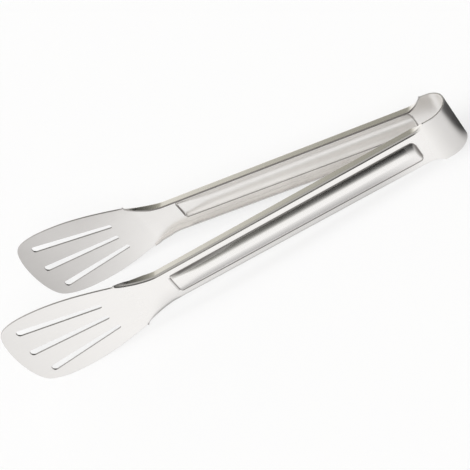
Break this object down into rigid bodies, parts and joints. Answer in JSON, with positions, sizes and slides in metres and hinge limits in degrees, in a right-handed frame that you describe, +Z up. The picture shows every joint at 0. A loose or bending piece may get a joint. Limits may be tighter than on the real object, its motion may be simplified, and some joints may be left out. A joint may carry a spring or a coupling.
{
  "type": "kitchen tongs",
  "caption": "Pressed steel kitchen tongs: a spring bow joins channel handles with raised grip panels and flat slotted blades that squeeze together.",
  "frame": {"origin": "centre of the footprint, on the plane the lower long edges of both blades stand on", "axes": "+X along the tongs from the blade tips to the bow, +Y from the front arm to the rear arm, +Z up across the width of the blades"},
  "size_m": [0.24, 0.0604, 0.044],
  "materials": {
    "bow_steel": "polished stainless",
    "front_handle_steel": "polished stainless",
    "front_blade_steel": "satin stainless",
    "rear_handle_steel": "polished stainless",
    "rear_blade_steel": "satin stainless"
  },
  "bodies": {
    "bow": {"spring_bow": "bow_steel"},
    "front_arm": {"front_handle": "front_handle_steel", "front_blade": "front_blade_steel"},
    "rear_arm": {"rear_handle": "rear_handle_steel", "rear_blade": "rear_blade_steel"}
  },
  "joints": [
    {"name": "front_squeeze", "type": "hinge", "parent": "bow", "child": "front_arm", "pos_m": [0.11159, -0.00898, 0.022], "axis": [0, 0, -1], "range_deg": [0, 7.18], "stiffness_Nm_per_rad": 12},
    {"name": "rear_squeeze", "type": "hinge", "parent": "bow", "child": "rear_arm", "pos_m": [0.11159, 0.00898, 0.022], "axis": [0, 0, 1], "range_deg": [0, 7.18], "stiffness_Nm_per_rad": 12}
  ],
  "couplings": [
    {"joint": "rear_squeeze", "follows": "front_squeeze", "ratio": 1}
  ]
}
